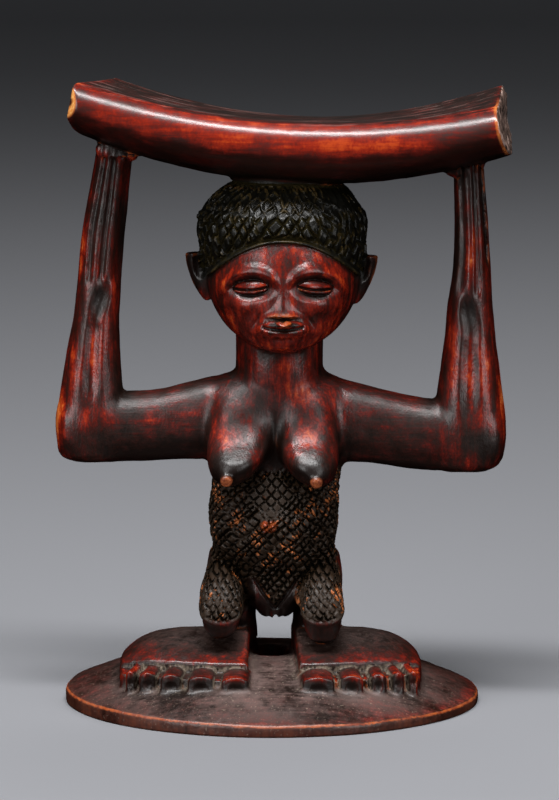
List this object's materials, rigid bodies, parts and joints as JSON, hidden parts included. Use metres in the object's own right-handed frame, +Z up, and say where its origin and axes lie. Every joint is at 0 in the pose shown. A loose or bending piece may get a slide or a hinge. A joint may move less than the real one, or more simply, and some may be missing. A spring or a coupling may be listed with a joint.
{
  "type": "carved headrest",
  "caption": "Carved wooden headrest: a standing woman on a low round base holds up a curved pillow with both raised hands.",
  "frame": {"origin": "centre of the base's flat underside", "axes": "+Z up through the figure, -Y the way the figure faces, +X towards the figure's left hand, along the pillow"},
  "size_m": [0.1264, 0.108, 0.1731],
  "materials": {
    "patinated_hardwood": "dark red-brown patina, polished by handling"
  },
  "bodies": {
    "root": {"carved_headrest": "patinated_hardwood"}
  },
  "joints": []
}
